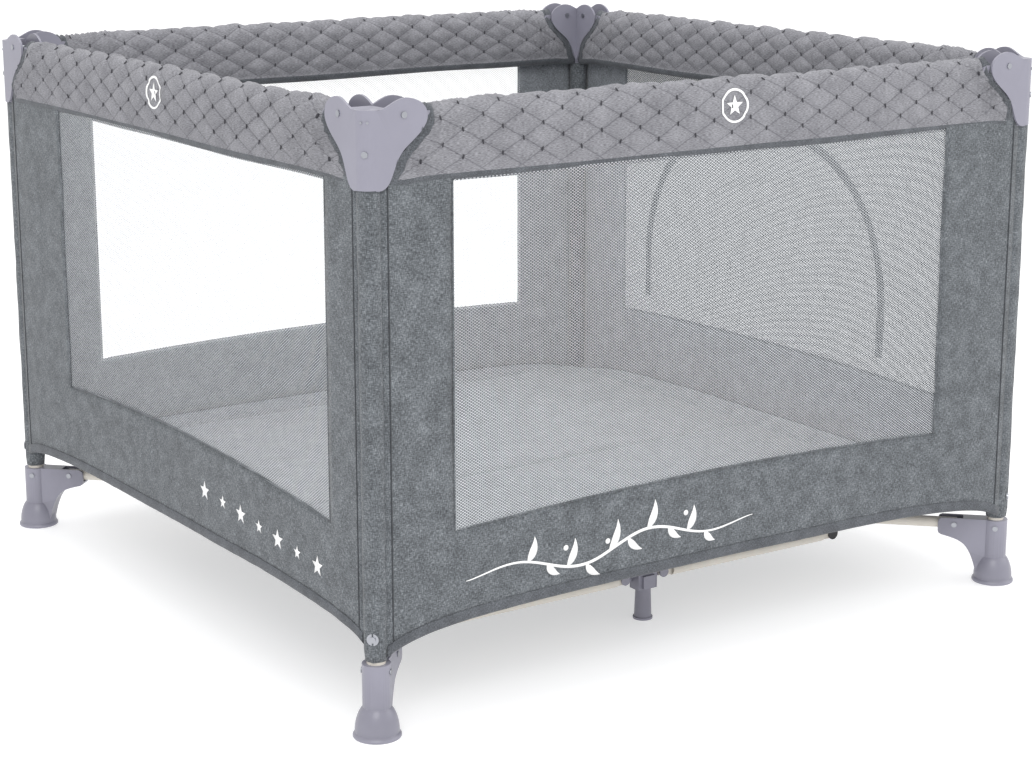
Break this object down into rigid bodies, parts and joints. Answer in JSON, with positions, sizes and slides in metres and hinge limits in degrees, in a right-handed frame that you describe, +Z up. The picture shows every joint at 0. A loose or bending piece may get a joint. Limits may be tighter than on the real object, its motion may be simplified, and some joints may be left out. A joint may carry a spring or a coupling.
{
  "type": "folding playpen",
  "caption": "Square folding playpen with flared feet, quilted top rails, mesh side walls and a soft floor, whose rails and base bars fold inward together",
  "frame": {"origin": "on the floor, under the middle of the pen", "axes": "+Z up, +X to the right along the front wall, front wall (with the larger ornament) faces -Y"},
  "size_m": [1.036, 1.036, 0.723],
  "materials": {
    "cream_tube": "satin",
    "grey_tube": "satin",
    "grey_plastic": "satin",
    "black_plastic": "matte",
    "button_red": "satin",
    "zinc": "bright",
    "wall_cloth": "melange weave",
    "quilt": "quilted",
    "floor_cloth": "woven",
    "mat_cloth": "woven"
  },
  "bodies": {
    "leg_front_left": {"leg_tube_front_left": "cream_tube", "corner_cover_front_left": "grey_plastic", "foot_front_left": "grey_plastic", "rivets_front_left": "zinc", "side_panel_front": "wall_cloth", "rail_cover_front": "quilt", "side_panel_left": "wall_cloth", "rail_cover_left": "quilt"},
    "leg_front_right": {"leg_tube_front_right": "cream_tube", "corner_cover_front_right": "grey_plastic", "foot_front_right": "grey_plastic", "rivets_front_right": "zinc", "side_panel_right": "wall_cloth", "rail_cover_right": "quilt"},
    "leg_back_right": {"leg_tube_back_right": "cream_tube", "corner_cover_back_right": "grey_plastic", "foot_back_right": "grey_plastic", "rivets_back_right": "zinc"},
    "leg_back_left": {"leg_tube_back_left": "cream_tube", "corner_cover_back_left": "grey_plastic", "foot_back_left": "grey_plastic", "rivets_back_left": "zinc", "side_panel_back": "wall_cloth", "rail_cover_back": "quilt"},
    "rail_front_a": {"rail_front_a": "grey_tube", "latch_front": "black_plastic"},
    "rail_front_b": {"rail_front_b": "grey_tube"},
    "button_front": {"button_front": "button_red"},
    "rail_left_a": {"rail_left_a": "grey_tube", "latch_left": "black_plastic"},
    "rail_left_b": {"rail_left_b": "grey_tube"},
    "button_left": {"button_left": "button_red"},
    "rail_right_a": {"rail_right_a": "grey_tube", "latch_right": "black_plastic"},
    "rail_right_b": {"rail_right_b": "grey_tube"},
    "button_right": {"button_right": "button_red"},
    "rail_back_a": {"rail_back_a": "grey_tube", "latch_back": "black_plastic"},
    "rail_back_b": {"rail_back_b": "grey_tube"},
    "button_back": {"button_back": "button_red"},
    "strut_front_left": {"strut_front_left": "cream_tube"},
    "knuckle_front_left": {"knuckle_front_left": "black_plastic"},
    "bar_front_left": {"bar_front_left": "cream_tube"},
    "strut_front_right": {"strut_front_right": "cream_tube"},
    "knuckle_front_right": {"knuckle_front_right": "black_plastic"},
    "bar_front_right": {"bar_front_right": "cream_tube"},
    "strut_back_right": {"strut_back_right": "cream_tube"},
    "knuckle_back_right": {"knuckle_back_right": "black_plastic"},
    "bar_back_right": {"bar_back_right": "cream_tube"},
    "strut_back_left": {"strut_back_left": "cream_tube"},
    "knuckle_back_left": {"knuckle_back_left": "black_plastic"},
    "bar_back_left": {"bar_back_left": "cream_tube"},
    "middle_foot_front": {"middle_foot_front": "grey_plastic"},
    "floor_front": {"floor_cloth_front": "floor_cloth", "floor_mat_front": "mat_cloth"},
    "middle_foot_back": {"middle_foot_back": "grey_plastic"},
    "floor_back": {"floor_cloth_back": "floor_cloth", "floor_mat_back": "mat_cloth"}
  },
  "joints": [
    {"name": "fold", "type": "hinge", "parent": "leg_front_left", "child": "rail_front_a", "pos_m": [-0.42, -0.49, 0.7], "axis": [0, 1, 0], "range_deg": [0, 84], "deforming": ["side_panel_front", "rail_cover_front", "side_panel_left", "rail_cover_left", "side_panel_right", "rail_cover_right", "side_panel_back", "rail_cover_back", "floor_cloth_front", "floor_mat_front", "floor_cloth_back", "floor_mat_back"]},
    {"name": "rail_front_middle", "type": "hinge", "parent": "rail_front_a", "child": "rail_front_b", "pos_m": [0, -0.49, 0.7], "axis": [0, 1, 0], "range_deg": [-168, 0]},
    {"name": "leg_front_right_swing", "type": "hinge", "parent": "rail_front_b", "child": "leg_front_right", "pos_m": [0.42, -0.49, 0.7], "axis": [0, 1, 0], "range_deg": [0, 84]},
    {"name": "rail_left_a_swing", "type": "hinge", "parent": "leg_front_left", "child": "rail_left_a", "pos_m": [-0.49, -0.42, 0.7], "axis": [-1, 0, 0], "range_deg": [0, 84]},
    {"name": "rail_left_middle", "type": "hinge", "parent": "rail_left_a", "child": "rail_left_b", "pos_m": [-0.49, 0, 0.7], "axis": [-1, 0, 0], "range_deg": [-168, 0]},
    {"name": "leg_back_left_swing", "type": "hinge", "parent": "rail_left_b", "child": "leg_back_left", "pos_m": [-0.49, 0.42, 0.7], "axis": [-1, 0, 0], "range_deg": [0, 84]},
    {"name": "rail_right_a_swing", "type": "hinge", "parent": "leg_front_right", "child": "rail_right_a", "pos_m": [0.49, -0.42, 0.7], "axis": [-1, 0, 0], "range_deg": [0, 84]},
    {"name": "rail_right_middle", "type": "hinge", "parent": "rail_right_a", "child": "rail_right_b", "pos_m": [0.49, 0, 0.7], "axis": [-1, 0, 0], "range_deg": [-168, 0]},
    {"name": "leg_back_right_swing", "type": "hinge", "parent": "rail_right_b", "child": "leg_back_right", "pos_m": [0.49, 0.42, 0.7], "axis": [-1, 0, 0], "range_deg": [0, 84]},
    {"name": "rail_back_a_swing", "type": "hinge", "parent": "leg_back_left", "child": "rail_back_a", "pos_m": [-0.42, 0.49, 0.7], "axis": [0, 1, 0], "range_deg": [0, 84]},
    {"name": "rail_back_b_swing", "type": "hinge", "parent": "leg_back_right", "child": "rail_back_b", "pos_m": [0.42, 0.49, 0.7], "axis": [0, -1, 0], "range_deg": [0, 84]},
    {"name": "strut_front_left_swing", "type": "hinge", "parent": "leg_front_left", "child": "strut_front_left", "pos_m": [-0.45111, -0.45111, 0.079], "axis": [0.7071, -0.7071, 0], "range_deg": [0, 84]},
    {"name": "knuckle_front_left_swing", "type": "hinge", "parent": "strut_front_left", "child": "knuckle_front_left", "pos_m": [-0.32511, -0.32511, 0.079], "axis": [0.7071, -0.7071, 0], "range_deg": [-84, 0]},
    {"name": "bar_front_left_swing", "type": "hinge", "parent": "knuckle_front_left", "child": "bar_front_left", "pos_m": [-0.32511, -0.34311, 0.058], "axis": [0, -1, 0], "range_deg": [0, 84]},
    {"name": "strut_front_right_swing", "type": "hinge", "parent": "leg_front_right", "child": "strut_front_right", "pos_m": [0.45111, -0.45111, 0.079], "axis": [0.7071, 0.7071, 0], "range_deg": [0, 84]},
    {"name": "knuckle_front_right_swing", "type": "hinge", "parent": "strut_front_right", "child": "knuckle_front_right", "pos_m": [0.32511, -0.32511, 0.079], "axis": [0.7071, 0.7071, 0], "range_deg": [-84, 0]},
    {"name": "bar_front_right_swing", "type": "hinge", "parent": "knuckle_front_right", "child": "bar_front_right", "pos_m": [0.32511, -0.34311, 0.058], "axis": [0, 1, 0], "range_deg": [0, 84]},
    {"name": "strut_back_right_swing", "type": "hinge", "parent": "leg_back_right", "child": "strut_back_right", "pos_m": [0.45111, 0.45111, 0.079], "axis": [-0.7071, 0.7071, 0], "range_deg": [0, 84]},
    {"name": "knuckle_back_right_swing", "type": "hinge", "parent": "strut_back_right", "child": "knuckle_back_right", "pos_m": [0.32511, 0.32511, 0.079], "axis": [-0.7071, 0.7071, 0], "range_deg": [-84, 0]},
    {"name": "bar_back_right_swing", "type": "hinge", "parent": "knuckle_back_right", "child": "bar_back_right", "pos_m": [0.32511, 0.34311, 0.058], "axis": [0, 1, 0], "range_deg": [0, 84]},
    {"name": "strut_back_left_swing", "type": "hinge", "parent": "leg_back_left", "child": "strut_back_left", "pos_m": [-0.45111, 0.45111, 0.079], "axis": [-0.7071, -0.7071, 0], "range_deg": [0, 84]},
    {"name": "knuckle_back_left_swing", "type": "hinge", "parent": "strut_back_left", "child": "knuckle_back_left", "pos_m": [-0.32511, 0.32511, 0.079], "axis": [-0.7071, -0.7071, 0], "range_deg": [-84, 0]},
    {"name": "bar_back_left_swing", "type": "hinge", "parent": "knuckle_back_left", "child": "bar_back_left", "pos_m": [-0.32511, 0.34311, 0.058], "axis": [0, -1, 0], "range_deg": [0, 84]},
    {"name": "middle_foot_front_swing", "type": "hinge", "parent": "bar_front_left", "child": "middle_foot_front", "pos_m": [-0.03111, -0.34311, 0.058], "axis": [0, -1, 0], "range_deg": [-84, 0]},
    {"name": "floor_front_swing", "type": "hinge", "parent": "leg_front_left", "child": "floor_front", "pos_m": [0, -0.414, 0.113], "axis": [1, 0, 0], "range_deg": [0, 86.52]},
    {"name": "middle_foot_back_swing", "type": "hinge", "parent": "bar_back_left", "child": "middle_foot_back", "pos_m": [-0.03111, 0.34311, 0.058], "axis": [0, -1, 0], "range_deg": [-84, 0]},
    {"name": "floor_back_swing", "type": "hinge", "parent": "leg_back_left", "child": "floor_back", "pos_m": [0, 0.414, 0.113], "axis": [-1, 0, 0], "range_deg": [0, 86.52]},
    {"name": "button_front_press", "type": "slide", "parent": "rail_front_a", "child": "button_front", "axis": [0, 0, 1], "range_m": [0, 0.004], "stiffness_N_per_m": 250},
    {"name": "button_left_press", "type": "slide", "parent": "rail_left_a", "child": "button_left", "axis": [0, 0, 1], "range_m": [0, 0.004], "stiffness_N_per_m": 250},
    {"name": "button_right_press", "type": "slide", "parent": "rail_right_a", "child": "button_right", "axis": [0, 0, 1], "range_m": [0, 0.004], "stiffness_N_per_m": 250},
    {"name": "button_back_press", "type": "slide", "parent": "rail_back_a", "child": "button_back", "axis": [0, 0, 1], "range_m": [0, 0.004], "stiffness_N_per_m": 250}
  ],
  "couplings": [
    {"joint": "rail_front_middle", "follows": "fold", "ratio": -2},
    {"joint": "leg_front_right_swing", "follows": "fold", "ratio": 1},
    {"joint": "rail_left_a_swing", "follows": "fold", "ratio": 1},
    {"joint": "rail_left_middle", "follows": "fold", "ratio": -2},
    {"joint": "leg_back_left_swing", "follows": "fold", "ratio": 1},
    {"joint": "rail_right_a_swing", "follows": "fold", "ratio": 1},
    {"joint": "rail_right_middle", "follows": "fold", "ratio": -2},
    {"joint": "leg_back_right_swing", "follows": "fold", "ratio": 1},
    {"joint": "rail_back_a_swing", "follows": "fold", "ratio": 1},
    {"joint": "rail_back_b_swing", "follows": "fold", "ratio": 1},
    {"joint": "strut_front_left_swing", "follows": "fold", "ratio": 1},
    {"joint": "knuckle_front_left_swing", "follows": "fold", "ratio": -1},
    {"joint": "bar_front_left_swing", "follows": "fold", "ratio": 1},
    {"joint": "strut_front_right_swing", "follows": "fold", "ratio": 1},
    {"joint": "knuckle_front_right_swing", "follows": "fold", "ratio": -1},
    {"joint": "bar_front_right_swing", "follows": "fold", "ratio": 1},
    {"joint": "strut_back_right_swing", "follows": "fold", "ratio": 1},
    {"joint": "knuckle_back_right_swing", "follows": "fold", "ratio": -1},
    {"joint": "bar_back_right_swing", "follows": "fold", "ratio": 1},
    {"joint": "strut_back_left_swing", "follows": "fold", "ratio": 1},
    {"joint": "knuckle_back_left_swing", "follows": "fold", "ratio": -1},
    {"joint": "bar_back_left_swing", "follows": "fold", "ratio": 1},
    {"joint": "middle_foot_front_swing", "follows": "fold", "ratio": -1},
    {"joint": "floor_front_swing", "follows": "fold", "ratio": 1.03},
    {"joint": "middle_foot_back_swing", "follows": "fold", "ratio": -1},
    {"joint": "floor_back_swing", "follows": "fold", "ratio": 1.03}
  ]
}
